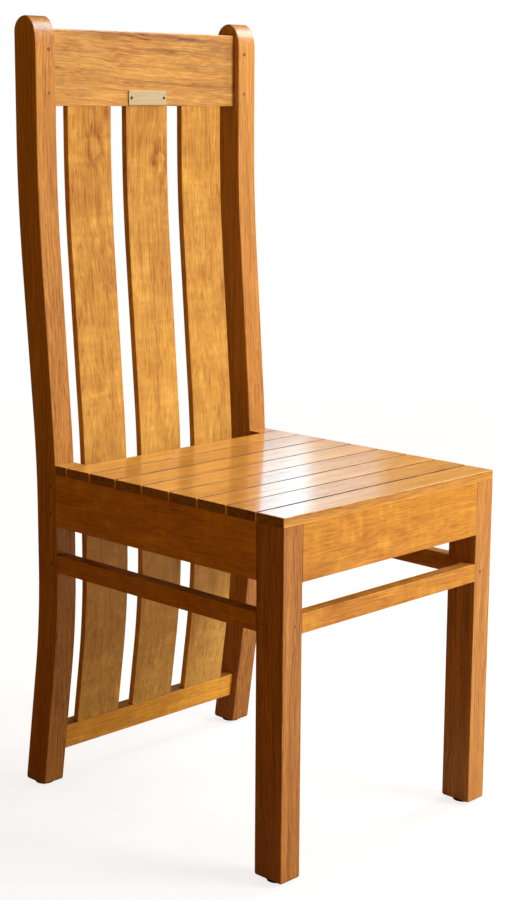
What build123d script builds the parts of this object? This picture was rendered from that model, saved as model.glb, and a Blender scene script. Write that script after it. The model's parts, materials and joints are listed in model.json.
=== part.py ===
from build123d import *
import os

os.makedirs("parts", exist_ok=True)

# A high-backed wooden side chair, in millimetres.
# It stands on Z = 0 and faces -Y. Left and right are as seen from in front of it.

# Overall sizes
chair_width = 398.0
chair_height = 1040.0
seat_height = 460.0
seat_depth = 418.0          # front of the front legs to the front of the rear posts, at the seat

# Front legs and rear posts
leg_width = 33.0
leg_depth = 45.0
post_depth = 40.0           # up to the seat
post_top_depth = 43.5       # from the shoulder up
leg_ease = 2.0

# Side view of the rear posts: a raked foot, an upright waist and a leaning back
foot_kick = 35.0
back_lean = 26.5
knee_height = 242.0
waist_height = 460.0
shoulder_below_top = 235.0
knee_radius = 1000.0
waist_radius = 1500.0
shoulder_radius = 2000.0
top_apex_setback = 22.0     # the highest line of a post top, behind its front face
top_front_drop = 34.0
top_back_drop = 20.0

# Crest rail, slats and lower rail of the back
back_setback = 10.0         # their shared front face, behind the front of the posts
crest_height = 98.0
crest_below_top = 16.0
crest_thickness = 22.0
crest_ease = 2.5
slat_count = 3
slat_width = 75.0
slat_thickness = 10.0
slat_ease = 1.5
low_rail_bottom = 46.0
low_rail_height = 35.0
low_rail_thickness = 24.0

# Seat boards, laid from side to side
board_thickness = 12.0
board_gap = 2.0
edge_board_width = 44.0     # the first and the last board
middle_board_count = 6
filler_depth = 23.0         # the short block between the last board and each post
board_ease = 2.0

# Aprons, rear seat rail and stretchers
apron_height = 71.0
front_apron_thickness = 20.0
side_apron_thickness = 18.0
rear_rail_height = 56.0
rear_rail_thickness = 16.0
rear_rail_drop = 4.0        # its top edge, below the underside of the boards
stretcher_bottom = 314.0
stretcher_height = 24.0
stretcher_thickness = 18.0
rail_ease = 1.0

# Mortise and tenon joints
tenon_thickness = 8.0
tenon_length = 20.0
tenon_shoulder = 5.0
crest_tenon_shoulder = 10.0
slat_tenon_thickness = 6.0
slat_tenon_length = 14.0
slat_tenon_shoulder = 6.0
tenon_web = 2.0             # wood left between two tenons that meet in one post
joint_clearance = 0.15

# Pegs that lock the tenons
peg_diameter = 6.0
peg_inset = 11.0            # from the shoulder of the joint
peg_recess = 0.3
peg_past = 1.0              # how far a peg runs past its tenon
crest_peg_drop = 26.0       # upper pegs, from the upper edge of the crest rail
crest_peg_rise = 17.0       # lower pegs, from the lower edge of the crest rail
apron_peg_margin = 17.0     # from the upper and lower edge of the apron

# Cleats under the boards, corner blocks and screws
cleat_size = 20.0
block_height = 40.0
block_reach = 45.0
screw_diameter = 4.0
screw_head_diameter = 8.0
screw_bite = 7.0            # into the underside of a board
side_bite = 11.0            # into an apron or a rail
block_screw_cover = 18.0    # wood under a screw head in a corner block
bore_clearance = 0.15
cut_margin = 1.0            # how far a cutting shape runs past what it cuts

# Foot glides
glide_thickness = 4.0
glide_diameter = 26.0
glide_ease = 1.5
glide_nail_diameter = 3.0
glide_nail_length = 16.0

# Blank name plate on the crest rail
plate_width = 68.0
plate_height = 19.0
plate_thickness = 2.5
plate_above_edge = 1.5
plate_ease = 0.6
plate_pin_margin = 4.5      # from the middle of a pin to the end of the plate
plate_pin_diameter = 2.0
plate_pin_head_diameter = 4.0
plate_pin_head_height = 0.8
plate_pin_bite = 3.0        # into the crest rail, short of the slat tenons

# Places worked out from the sizes
side_x = chair_width / 2
inner_x = side_x - leg_width
overall_depth = seat_depth + max(foot_kick + post_depth, back_lean + post_top_depth)
front_y = -overall_depth / 2
post_y = front_y + seat_depth
leg_bottom = glide_thickness
board_bottom = seat_height - board_thickness
apron_bottom = board_bottom - apron_height
shoulder_height = chair_height - shoulder_below_top
crest_top = chair_height - crest_below_top
crest_bottom = crest_top - crest_height
crest_y = post_y + back_lean + back_setback
low_rail_top = low_rail_bottom + low_rail_height
stretcher_top = stretcher_bottom + stretcher_height
rear_rail_top = board_bottom - rear_rail_drop
rear_rail_bottom = rear_rail_top - rear_rail_height
rear_rail_back = post_y + back_setback
rear_rail_front = rear_rail_back - rear_rail_thickness
cleat_bottom = board_bottom - cleat_size
block_bottom = cleat_bottom - block_height
apron_inner_x = side_x - side_apron_thickness
apron_inner_y = front_y + front_apron_thickness
leg_back_y = front_y + leg_depth
sides = {"left": -1, "right": 1}
nodes = {}


def slab(xs, ys, zs, grow=0.0):
    """A box between pairs of coordinates, grown by the same amount on every face."""
    spans = [sorted(xs), sorted(ys), sorted(zs)]
    middle = [(low + high) / 2 for low, high in spans]
    size = [high - low + 2 * grow for low, high in spans]
    return Pos(*middle) * Box(*size)


def eased_rail(xs, ys, zs, along, ease):
    """A straight rail with its long edges eased."""
    rail = slab(xs, ys, zs)
    return fillet(rail.edges().filter_by(along), ease)


def rod(start, direction, length, diameter):
    """A plain round rod that begins at a point and runs along a direction."""
    place = Plane(origin=start, z_dir=direction)
    return place * Cylinder(diameter / 2, length, align=(Align.CENTER, Align.CENTER, Align.MIN))


def screw(start, direction, length, grow=0.0):
    """A countersunk wood screw whose head lies level with its start."""
    upright = (Align.CENTER, Align.CENTER, Align.MIN)
    shank_radius = screw_diameter / 2 + grow
    head_radius = screw_head_diameter / 2 + grow
    head = Cone(head_radius, shank_radius, head_radius - shank_radius, align=upright)
    shank = Cylinder(shank_radius, length + grow, align=upright)
    return Plane(origin=start, z_dir=direction) * (head + shank)


def back_curve(setback, top, growth=0.0):
    """The front line of the posts in side view, moved backwards and cut off at a height.

    Growth is how much further back it lies from the shoulder up.
    """
    waist_y = post_y + setback
    points = [
        (waist_y + foot_kick, leg_bottom),
        (waist_y, knee_height),
        (waist_y, waist_height),
        (waist_y + back_lean + growth, shoulder_height),
        (waist_y + back_lean + growth, top),
    ]
    return FilletPolyline(*points, radius=[knee_radius, waist_radius, shoulder_radius])


def between_curves(xs, front, top_edges, back):
    """A plank whose side view lies between two back curves and the edges that join their tops."""
    bottom = Line(front @ 0, back @ 0)
    outline = [*front.edges(), *top_edges, *back.edges(), bottom.edge()]
    face = Plane.YZ * make_face(outline)
    low, high = sorted(xs)
    return Pos(low, 0, 0) * extrude(face, high - low, dir=(1, 0, 0))


def curved_plank(xs, setback, thickness, zs, ease=0.0, grow=0.0):
    """A plank that follows the posts' curve, between two heights, with its long edges eased."""
    front = back_curve(setback - grow, chair_height)
    back = back_curve(setback + thickness + grow, chair_height)
    low_x, high_x = sorted(xs)
    top = Line(front @ 1, back @ 1)
    plank = between_curves((low_x - grow, high_x + grow), front, [top.edge()], back)
    if ease:
        across = plank.edges().filter_by(Axis.X) + plank.edges().filter_by(Axis.Y)
        plank = fillet([edge for edge in plank.edges() if edge not in across], ease)
    low_z, high_z = sorted(zs)
    depth = (post_y, post_y + seat_depth)
    width = (low_x - grow - cut_margin, high_x + grow + cut_margin)
    return plank & slab(width, depth, (low_z - grow, high_z + grow))


def post_blank(sign):
    """A rear post with its rounded top and eased edges, before any joint is cut."""
    front = back_curve(0, chair_height - top_front_drop)
    back = back_curve(post_depth, chair_height - top_back_drop, post_top_depth - post_depth)
    apex_y = post_y + back_lean + top_apex_setback
    front_middle = (apex_y, chair_height - top_front_drop)
    front_round = EllipticalCenterArc(front_middle, top_apex_setback, top_front_drop, 90, arc_size=90)
    back_middle = (apex_y, chair_height - top_back_drop)
    back_reach = post_top_depth - top_apex_setback
    back_round = EllipticalCenterArc(back_middle, back_reach, top_back_drop, 0, arc_size=90)
    top_edges = [front_round.edge(), back_round.edge()]
    post = between_curves((sign * inner_x, sign * side_x), front, top_edges, back)
    side_edges = post.faces().filter_by(Axis.X).edges()
    foot_edges = post.faces().sort_by(Axis.Z)[0].edges().filter_by(Axis.X)
    return fillet(side_edges + foot_edges, leg_ease)


def front_leg_blank(sign):
    """A square front leg with eased upright edges and an eased foot."""
    zs = (leg_bottom, board_bottom)
    leg = slab((sign * inner_x, sign * side_x), (front_y, leg_back_y), zs)
    foot_edges = leg.faces().sort_by(Axis.Z)[0].edges()
    return fillet(leg.edges().filter_by(Axis.Z) + foot_edges, leg_ease)


def side_tenon_xs(sign, thickness):
    """Where the tenon of a side apron or stretcher lies across its thickness."""
    outer = side_x - (thickness - tenon_thickness) / 2
    return (sign * outer, sign * (outer - tenon_thickness))


def front_tenon_ys(thickness):
    """Where the tenon of the front apron or stretcher lies across its thickness."""
    outer = front_y + (thickness - tenon_thickness) / 2
    return (outer, outer + tenon_thickness)


def side_tenon(sign, thickness, zs, grow=0.0):
    """One long tenon that reaches from inside the front leg to inside the rear post."""
    ys = (leg_back_y - tenon_length, post_y + tenon_length)
    return slab(side_tenon_xs(sign, thickness), ys, zs, grow)


def front_tenon(thickness, zs, grow=0.0):
    """One long tenon that reaches from inside the left front leg to inside the right one."""
    reach = inner_x + tenon_length
    return slab((-reach, reach), front_tenon_ys(thickness), zs, grow)


def crest_tenon(grow=0.0):
    """The tenons of the crest rail, as one long bar."""
    reach = inner_x + tenon_length
    middle = crest_y + crest_thickness / 2
    ys = (middle - tenon_thickness / 2, middle + tenon_thickness / 2)
    zs = (crest_bottom + crest_tenon_shoulder, crest_top - crest_tenon_shoulder)
    return slab((-reach, reach), ys, zs, grow)


def low_rail_tenon(grow=0.0):
    """The tenons of the lower back rail, as one long bar that leans with the posts."""
    reach = inner_x + tenon_length
    setback = back_setback + (low_rail_thickness - tenon_thickness) / 2
    zs = (low_rail_bottom + tenon_shoulder, low_rail_top - tenon_shoulder)
    return curved_plank((-reach, reach), setback, tenon_thickness, zs, grow=grow)


def rear_rail_tenon(grow=0.0):
    """The tenons of the rear seat rail, level with its back face."""
    reach = side_x - (side_apron_thickness + tenon_thickness) / 2 - tenon_web
    ys = (rear_rail_back - tenon_thickness, rear_rail_back)
    zs = (rear_rail_bottom + tenon_shoulder, rear_rail_top - tenon_shoulder)
    return slab((-reach, reach), ys, zs, grow)


def slat_tenon(middle_x, grow=0.0):
    """The tenons of a slat, as one thin plank level with the back of the slat."""
    half = slat_width / 2 - slat_tenon_shoulder
    setback = back_setback + slat_thickness - slat_tenon_thickness
    zs = (low_rail_top - slat_tenon_length, crest_bottom + slat_tenon_length)
    return curved_plank((middle_x - half, middle_x + half), setback, slat_tenon_thickness, zs, grow=grow)


apron_tenon_zs = (apron_bottom + tenon_shoulder, board_bottom - tenon_shoulder)
stretcher_tenon_zs = (stretcher_bottom + tenon_shoulder, stretcher_top - tenon_shoulder)

# Slats stand evenly between the posts
slat_space = (2 * inner_x - slat_count * slat_width) / (slat_count + 1)
slat_pitch = slat_width + slat_space
slat_names = ["left", "center", "right"]
slat_middles = [(index - (slat_count - 1) / 2) * slat_pitch for index in range(slat_count)]

# Pegs: each group is a list of (start, direction, length)
side_peg_length = (side_apron_thickness + tenon_thickness) / 2 + peg_past
stretcher_peg_length = (stretcher_thickness + tenon_thickness) / 2 + peg_past
crest_peg_length = back_setback + (crest_thickness + tenon_thickness) / 2 + peg_past
stretcher_middle = (stretcher_bottom + stretcher_top) / 2
peg_groups = {
    "crest_rail_pegs": [
        ((sign * (inner_x + peg_inset), post_y + back_lean, z), (0, 1, 0), crest_peg_length)
        for sign in sides.values()
        for z in (crest_bottom + crest_peg_rise, crest_top - crest_peg_drop)
    ],
    "side_apron_pegs": [
        ((sign * side_x, post_y + peg_inset, z), (-sign, 0, 0), side_peg_length)
        for sign in sides.values()
        for z in (apron_bottom + apron_peg_margin, board_bottom - apron_peg_margin)
    ],
    "side_stretcher_pegs": [
        ((sign * side_x, y, stretcher_middle), (-sign, 0, 0), stretcher_peg_length)
        for sign in sides.values()
        for y in (leg_back_y - peg_inset, post_y + peg_inset)
    ],
    "front_stretcher_pegs": [
        ((sign * (inner_x + peg_inset), front_y, stretcher_middle), (0, 1, 0), stretcher_peg_length)
        for sign in sides.values()
    ],
}


def peg_bores(group):
    """The holes of one group of pegs."""
    diameter = peg_diameter + 2 * bore_clearance
    return [rod(start, way, length + bore_clearance, diameter) for start, way, length in peg_groups[group]]


def pegs(group):
    """The pegs of one group, each a little below the face that it was driven into."""
    made = []
    for start, way, length in peg_groups[group]:
        sunk = Vector(start) + Vector(way) * peg_recess
        made.append(rod(sunk, way, length - peg_recess, peg_diameter))
    return made


# Seat boards from front to back: an edge board, equal middle boards and an edge board
board_span = seat_depth - filler_depth
gaps = middle_board_count + 2
middle_board_width = (board_span - 2 * edge_board_width - gaps * board_gap) / middle_board_count
board_widths = [edge_board_width] + [middle_board_width] * middle_board_count + [edge_board_width]
board_starts = []
next_start = front_y
for width in board_widths:
    board_starts.append(next_start)
    next_start += width + board_gap
filler_start = next_start
board_middles = [start + width / 2 for start, width in zip(board_starts, board_widths)]

# Screws: each group is a list of (start, direction, length)
cleat_inner_x = apron_inner_x - cleat_size
cleat_middle_x = apron_inner_x - cleat_size / 2
cleat_middle_y = apron_inner_y + cleat_size / 2
cleat_middle_z = board_bottom - cleat_size / 2
cleat_ys = (leg_back_y, rear_rail_front)
front_cleat_screw_x = inner_x / 2
board_screw_length = cleat_size + screw_bite
cleat_screw_length = cleat_size + side_bite
board_screws = [
    ((sign * cleat_middle_x, y, cleat_bottom), (0, 0, 1), board_screw_length)
    for sign in sides.values()
    for y in board_middles[1:]
]
board_screws += [
    ((sign * front_cleat_screw_x, board_middles[0] + front_apron_thickness / 2, cleat_bottom), (0, 0, 1),
     board_screw_length)
    for sign in sides.values()
]
cleat_screws = [
    ((sign * cleat_inner_x, start - board_gap / 2, cleat_middle_z), (sign, 0, 0), cleat_screw_length)
    for sign in sides.values()
    for start in board_starts[2::2]
]
cleat_screws += [
    ((x, apron_inner_y + cleat_size, cleat_middle_z), (0, -1, 0), cleat_screw_length)
    for x in (-inner_x + block_reach, 0, inner_x - block_reach)
]


def corner_block_outline(sign, end):
    """The corners of a block seen from above: notched round the front leg, plain at the rear rail."""
    if end == "front":
        return [
            (sign * (inner_x - block_reach), apron_inner_y),
            (sign * inner_x, apron_inner_y),
            (sign * inner_x, leg_back_y),
            (sign * apron_inner_x, leg_back_y),
            (sign * apron_inner_x, leg_back_y + block_reach),
        ]
    return [
        (sign * (apron_inner_x - block_reach), rear_rail_front),
        (sign * apron_inner_x, rear_rail_front),
        (sign * apron_inner_x, rear_rail_front - block_reach),
    ]


block_middle_z = block_bottom + block_height / 2


def corner_block_screws(sign, end):
    """One screw into the side apron and one into the front apron or the rear rail."""
    length = block_screw_cover + side_bite
    if end == "front":
        y_face, y_way, y_side = apron_inner_y, -1, leg_back_y + block_reach / 3
        x_side = sign * (inner_x - block_reach / 3)
    else:
        y_face, y_way, y_side = rear_rail_front, 1, rear_rail_front - block_reach / 2
        x_side = sign * (apron_inner_x - block_reach / 2)
    side_head = (sign * (apron_inner_x - block_screw_cover), y_side, block_middle_z - block_height / 4)
    end_head = (x_side, y_face - y_way * block_screw_cover, block_middle_z + block_height / 4)
    return [(side_head, (sign, 0, 0), length), (end_head, (0, y_way, 0), length)]


block_screws = {
    (side, end): corner_block_screws(sign, end) for side, sign in sides.items() for end in ("front", "rear")
}
all_block_screws = [one for pair in block_screws.values() for one in pair]


def screw_bores(group):
    """The holes of a group of screws, open above each head."""
    bores = []
    for start, way, length in group:
        bores.append(screw(start, way, length, bore_clearance))
        access = screw_head_diameter + 2 * bore_clearance
        bores.append(rod(start, Vector(way) * -1, block_reach, access))
    return bores


# Foot glides stand under the middle of each leg
glide_places = {}
for side, sign in sides.items():
    glide_x = sign * (side_x - leg_width / 2)
    glide_places["front_" + side] = (glide_x, front_y + leg_depth / 2)
    glide_places["rear_" + side] = (glide_x, post_y + foot_kick + post_depth / 2)


def glide_bore(place):
    """The hole that a glide's nail is driven into."""
    diameter = glide_nail_diameter + 2 * bore_clearance
    return rod((*place, leg_bottom), (0, 0, 1), glide_nail_length + bore_clearance, diameter)


def foot_glide(place):
    """A round glide with an eased rim and a nail."""
    disc = rod((*place, 0), (0, 0, 1), glide_thickness, glide_diameter)
    disc = fillet(disc.edges().sort_by(Axis.Z)[0], glide_ease)
    nail_length = leg_bottom - glide_ease + glide_nail_length
    return disc + rod((*place, glide_ease), (0, 0, 1), nail_length, glide_nail_diameter)


# Name plate places
plate_bottom = crest_bottom + plate_above_edge
plate_middle_z = plate_bottom + plate_height / 2
plate_front = crest_y - plate_thickness
pin_reach = plate_width / 2 - plate_pin_margin
pin_xs = (-pin_reach, pin_reach)


def plate_pin(x, grow=0.0):
    """A pin with a low domed head that rests on the plate."""
    shank = rod((x, plate_front, plate_middle_z), (0, 1, 0), plate_thickness + plate_pin_bite + grow,
                plate_pin_diameter + 2 * grow)
    if grow:
        return shank
    head = rod((x, plate_front, plate_middle_z), (0, -1, 0), plate_pin_head_height, plate_pin_head_diameter)
    head = fillet(head.edges().sort_by(Axis.Y)[0], plate_pin_head_height / 2)
    return shank + head


# Front legs
for side, sign in sides.items():
    leg = front_leg_blank(sign)
    leg -= side_tenon(sign, side_apron_thickness, apron_tenon_zs, joint_clearance)
    leg -= side_tenon(sign, stretcher_thickness, stretcher_tenon_zs, joint_clearance)
    leg -= front_tenon(front_apron_thickness, apron_tenon_zs, joint_clearance)
    leg -= front_tenon(stretcher_thickness, stretcher_tenon_zs, joint_clearance)
    leg -= peg_bores("side_stretcher_pegs")
    leg -= peg_bores("front_stretcher_pegs")
    leg -= glide_bore(glide_places["front_" + side])
    nodes["front_leg_" + side] = leg

# Rear posts
for side, sign in sides.items():
    post = post_blank(sign)
    post -= side_tenon(sign, side_apron_thickness, apron_tenon_zs, joint_clearance)
    post -= side_tenon(sign, stretcher_thickness, stretcher_tenon_zs, joint_clearance)
    post -= rear_rail_tenon(joint_clearance)
    post -= crest_tenon(joint_clearance)
    post -= low_rail_tenon(joint_clearance)
    post -= peg_bores("crest_rail_pegs")
    post -= peg_bores("side_apron_pegs")
    post -= peg_bores("side_stretcher_pegs")
    post -= glide_bore(glide_places["rear_" + side])
    nodes["rear_post_" + side] = post

# Crest rail
crest = slab((-inner_x, inner_x), (crest_y, crest_y + crest_thickness), (crest_bottom, crest_top))
crest_edges = crest.edges().filter_by(Axis.X).sort_by(Axis.Z)
crest = fillet(crest_edges[-2:], crest_ease)
crest += crest_tenon()
for middle_x in slat_middles:
    crest -= slat_tenon(middle_x, joint_clearance)
crest -= peg_bores("crest_rail_pegs")
crest -= [plate_pin(x, bore_clearance) for x in pin_xs]
nodes["crest_rail"] = crest

# Lower back rail
low_rail_zs = (low_rail_bottom, low_rail_top)
low_rail = curved_plank((-inner_x, inner_x), back_setback, low_rail_thickness, low_rail_zs)
low_rail = fillet(low_rail.edges().filter_by(Axis.X), rail_ease)
low_rail += low_rail_tenon()
for middle_x in slat_middles:
    low_rail -= slat_tenon(middle_x, joint_clearance)
nodes["lower_back_rail"] = low_rail

# Back slats
for name, middle_x in zip(slat_names, slat_middles):
    xs = (middle_x - slat_width / 2, middle_x + slat_width / 2)
    slat = curved_plank(xs, back_setback, slat_thickness, (low_rail_top, crest_bottom), slat_ease)
    nodes["back_slat_" + name] = slat + slat_tenon(middle_x)

# Rear seat rail
rear_rail_ys = (rear_rail_front, rear_rail_back)
rear_rail_zs = (rear_rail_bottom, rear_rail_top)
rear_rail = eased_rail((-inner_x, inner_x), rear_rail_ys, rear_rail_zs, Axis.X, rail_ease)
rear_rail += rear_rail_tenon()
rear_rail -= screw_bores(all_block_screws)
nodes["rear_seat_rail"] = rear_rail

# Front apron and front stretcher
front_apron_ys = (front_y, apron_inner_y)
front_apron = eased_rail((-inner_x, inner_x), front_apron_ys, (apron_bottom, board_bottom), Axis.X, rail_ease)
front_apron += front_tenon(front_apron_thickness, apron_tenon_zs)
front_apron -= screw_bores(all_block_screws + cleat_screws)
nodes["front_apron"] = front_apron

front_stretcher_ys = (front_y, front_y + stretcher_thickness)
stretcher_zs = (stretcher_bottom, stretcher_top)
front_stretcher = eased_rail((-inner_x, inner_x), front_stretcher_ys, stretcher_zs, Axis.X, rail_ease)
front_stretcher += front_tenon(stretcher_thickness, stretcher_tenon_zs)
front_stretcher -= peg_bores("front_stretcher_pegs")
nodes["front_stretcher"] = front_stretcher

# Side aprons and side stretchers, shaped at the back to the curve of the post
for side, sign in sides.items():
    post_shape = curved_plank((sign * inner_x, sign * side_x), 0, post_depth, (leg_bottom, chair_height))
    side_ys = (leg_back_y, post_y + post_depth / 2)

    apron_xs = (sign * side_x, sign * apron_inner_x)
    apron = eased_rail(apron_xs, side_ys, (apron_bottom, board_bottom), Axis.Y, rail_ease)
    apron -= post_shape
    apron += side_tenon(sign, side_apron_thickness, apron_tenon_zs)
    apron -= peg_bores("side_apron_pegs")
    apron -= screw_bores(all_block_screws + cleat_screws)
    nodes["side_apron_" + side] = apron

    stretcher_xs = (sign * side_x, sign * (side_x - stretcher_thickness))
    stretcher = eased_rail(stretcher_xs, side_ys, stretcher_zs, Axis.Y, rail_ease)
    stretcher -= post_shape
    stretcher += side_tenon(sign, stretcher_thickness, stretcher_tenon_zs)
    stretcher -= peg_bores("side_stretcher_pegs")
    nodes["side_stretcher_" + side] = stretcher

    filler_ys = (filler_start, post_y + post_depth / 2)
    filler = slab((sign * inner_x, sign * side_x), filler_ys, (board_bottom, seat_height))
    filler = fillet(filler.edges(), board_ease)
    nodes["seat_filler_" + side] = filler - post_shape

# Seat boards
for number, (start, width) in enumerate(zip(board_starts, board_widths), 1):
    board = slab((-side_x, side_x), (start, start + width), (board_bottom, seat_height))
    board = fillet(board.edges(), board_ease)
    nodes["seat_board_%d" % number] = board - screw_bores(board_screws)

# Cleats that the boards are screwed to
for side, sign in sides.items():
    cleat_xs = (sign * apron_inner_x, sign * cleat_inner_x)
    cleat = slab(cleat_xs, cleat_ys, (cleat_bottom, board_bottom))
    nodes["seat_cleat_" + side] = cleat - screw_bores(board_screws + cleat_screws)
front_cleat_ys = (apron_inner_y, apron_inner_y + cleat_size)
front_cleat = slab((-inner_x, inner_x), front_cleat_ys, (cleat_bottom, board_bottom))
nodes["seat_cleat_front"] = front_cleat - screw_bores(board_screws + cleat_screws)

# Corner blocks
for side, sign in sides.items():
    for end in ("front", "rear"):
        outline = Polyline(*corner_block_outline(sign, end), close=True)
        block = Pos(0, 0, block_bottom) * extrude(make_face(outline.edges()), block_height, dir=(0, 0, 1))
        nodes["corner_block_%s_%s" % (end, side)] = block - screw_bores(block_screws[side, end])

# Foot glides
for name, place in glide_places.items():
    nodes["foot_glide_" + name] = foot_glide(place)

# Name plate
plate_zs = (plate_bottom, plate_bottom + plate_height)
plate = slab((-plate_width / 2, plate_width / 2), (plate_front, crest_y), plate_zs)
plate = fillet(plate.faces().sort_by(Axis.Y)[0].edges(), plate_ease)
nodes["name_plate"] = plate - [plate_pin(x, bore_clearance) for x in pin_xs]

# Fasteners, each kind as one group
groups = {name: pegs(name) for name in peg_groups}
groups["seat_board_screws"] = [screw(*one) for one in board_screws]
groups["cleat_screws"] = [screw(*one) for one in cleat_screws]
groups["corner_block_screws"] = [screw(*one) for one in all_block_screws]
groups["name_plate_pins"] = [plate_pin(x) for x in pin_xs]
for name, members in groups.items():
    nodes[name] = Compound(children=[member.solid() for member in members])

for name, shape in nodes.items():
    export_step(shape, "parts/%s.step" % name)
print(len(nodes), "nodes")
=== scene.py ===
# %% [markdown]
# # A high-backed wooden chair
# The chair is joined woodwork: two curved posts, two straight legs, rails, slats and a seat of loose boards.
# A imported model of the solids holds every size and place. This lesson loads it as a fixed frame, makes
# each visible piece again as a finely eased surface over its solid, and gives every piece a finish made
# from shader nodes.

# %% Load the frame
import json
import math

import bpy
import numpy as np
from mathutils import Matrix, Vector


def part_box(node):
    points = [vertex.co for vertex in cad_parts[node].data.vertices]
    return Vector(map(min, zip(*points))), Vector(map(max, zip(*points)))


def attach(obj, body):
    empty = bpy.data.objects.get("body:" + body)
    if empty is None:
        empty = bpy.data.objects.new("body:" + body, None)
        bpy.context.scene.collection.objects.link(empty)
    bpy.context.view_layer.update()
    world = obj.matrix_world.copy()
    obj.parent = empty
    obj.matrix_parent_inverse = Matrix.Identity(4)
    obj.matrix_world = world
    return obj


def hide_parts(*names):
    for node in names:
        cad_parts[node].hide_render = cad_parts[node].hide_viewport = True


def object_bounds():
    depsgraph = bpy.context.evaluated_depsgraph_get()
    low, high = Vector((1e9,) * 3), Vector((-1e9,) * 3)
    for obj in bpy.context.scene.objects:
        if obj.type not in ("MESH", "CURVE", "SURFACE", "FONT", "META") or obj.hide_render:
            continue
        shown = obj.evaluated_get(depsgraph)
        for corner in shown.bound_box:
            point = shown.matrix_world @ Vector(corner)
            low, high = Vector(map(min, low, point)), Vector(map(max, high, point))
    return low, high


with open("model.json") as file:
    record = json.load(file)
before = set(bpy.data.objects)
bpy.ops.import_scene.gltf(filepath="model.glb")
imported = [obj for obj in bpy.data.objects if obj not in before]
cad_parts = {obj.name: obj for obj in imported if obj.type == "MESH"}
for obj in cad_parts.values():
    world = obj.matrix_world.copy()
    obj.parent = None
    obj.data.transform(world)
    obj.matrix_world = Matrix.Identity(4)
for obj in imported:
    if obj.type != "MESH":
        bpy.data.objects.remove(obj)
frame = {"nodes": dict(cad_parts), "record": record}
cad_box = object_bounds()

slot_of = {row["node"]: row["material_slot"] for row in frame["record"]["subparts"]}
box_of = {node: np.array(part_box(node)) for node in frame["nodes"]}
mm = 0.001
print("loaded", len(slot_of), "solids, from", np.round(cad_box[0], 3), "to", np.round(cad_box[1], 3))

# %% [markdown]
# ## The camera
# The picture was taken from the front left, a little above the seat, with a long lens. A camera could be
# aimed by eye, but the corners of the seat, legs and posts in the picture fix its place and its three
# angles exactly. Yaw turns the view from straight ahead towards the right, pitch tips it down, and roll
# tilts it about its own axis.

# %% Camera
photo_height = 900
focal_length_in_pixels = 1785.0
camera_place = Vector((-1.6573, -1.6356, 0.9393))
camera_yaw = math.radians(45.374)
camera_pitch = math.radians(11.194)
camera_roll = math.radians(0.313)


def viewing_axes(yaw, pitch, roll):
    """Right, up and forward of a camera that starts out looking along +Y with +X to its right."""
    ahead = Vector((math.sin(yaw), math.cos(yaw), 0))
    forward = math.cos(pitch) * ahead - Vector((0, 0, math.sin(pitch)))
    level_right = Vector((math.cos(yaw), -math.sin(yaw), 0))
    level_up = level_right.cross(forward)
    right = math.cos(roll) * level_right + math.sin(roll) * level_up
    up = math.cos(roll) * level_up - math.sin(roll) * level_right
    return right, up, forward


view_right, view_up, view_forward = viewing_axes(camera_yaw, camera_pitch, camera_roll)
turn = Matrix((view_right, view_up, -view_forward)).transposed().to_4x4()
lens = bpy.data.cameras.new("photo_camera")
lens.sensor_width = 36
lens.lens = focal_length_in_pixels * lens.sensor_width / photo_height
camera = bpy.data.objects.new("photo_camera", lens)
camera.matrix_world = Matrix.Translation(camera_place) @ turn
bpy.context.scene.collection.objects.link(camera)
bpy.context.scene.camera = camera
print("camera with a lens of", round(lens.lens, 1), "mm")

# %% [markdown]
# ## Eased solids
# On the real chair every edge was eased with a plane or sandpaper. A Bevel modifier could do that, but
# here each piece is worked out in one go: a flat outline carried along one axis. The outline is a closed
# loop made of two chains of equal length, so the two flat ends can be filled with strips from chain to
# chain. Each ring of points along the axis is the outline moved inwards a little, as a quarter circle
# asks. The same quarter circle gives exact normals, and those keep the broad faces flat in reflections.

# %% Loops and corners
ease_steps = 4
corner_steps = 4


def loop_of(first_chain, second_chain):
    """One closed loop: along the first chain, then back along the second, with the wood on its left."""
    return np.concatenate([first_chain, second_chain[::-1]])


def loop_normals(loop):
    """Outward normals: the line from the point before to the point after, turned a quarter to the right."""
    way = np.roll(loop, -1, axis=0) - np.roll(loop, 1, axis=0)
    normals = np.column_stack([way[:, 1], -way[:, 0]])
    return normals / np.linalg.norm(normals, axis=1, keepdims=True)


def corner_arc(middle, radius, start_degrees, end_degrees):
    """Points of a circle between two angles."""
    angles = np.radians(np.linspace(start_degrees, end_degrees, corner_steps + 1))
    return np.asarray(middle) + radius * np.column_stack([np.cos(angles), np.sin(angles)])


def rounded_rectangle(low, high, low_radius, high_radius):
    """A rectangle whose two lower corners and two upper corners are arcs of the given radii."""
    (left, bottom), (right, top) = low, high
    lower = np.concatenate([
        corner_arc((left + low_radius, bottom + low_radius), low_radius, 180, 270),
        corner_arc((right - low_radius, bottom + low_radius), low_radius, 270, 360),
    ])
    upper = np.concatenate([
        corner_arc((left + high_radius, top - high_radius), high_radius, 180, 90),
        corner_arc((right - high_radius, top - high_radius), high_radius, 90, 0),
    ])
    return loop_of(lower, upper)


print("a rounded rectangle has", len(rounded_rectangle((0, 0), (1, 1), 0.1, 0.1)), "points")

# %% From a loop to a solid


def ring_faces(count, size):
    """Squares between rings of points, each ring closed, and strips over the first and the last ring."""
    ring = np.arange(count - 1)[:, None] * size
    here = np.arange(size)[None]
    after = (here + 1) % size
    corners = [ring + here, ring + after, ring + size + after, ring + size + here]
    sides = np.stack(corners, axis=-1).reshape(-1, 4)
    step = np.arange(size // 2 - 1)
    low_cap = np.column_stack([step, size - 1 - step, size - 2 - step, step + 1])
    high_cap = low_cap[:, ::-1] + (count - 1) * size
    return [sides, low_cap, high_cap]


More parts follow.
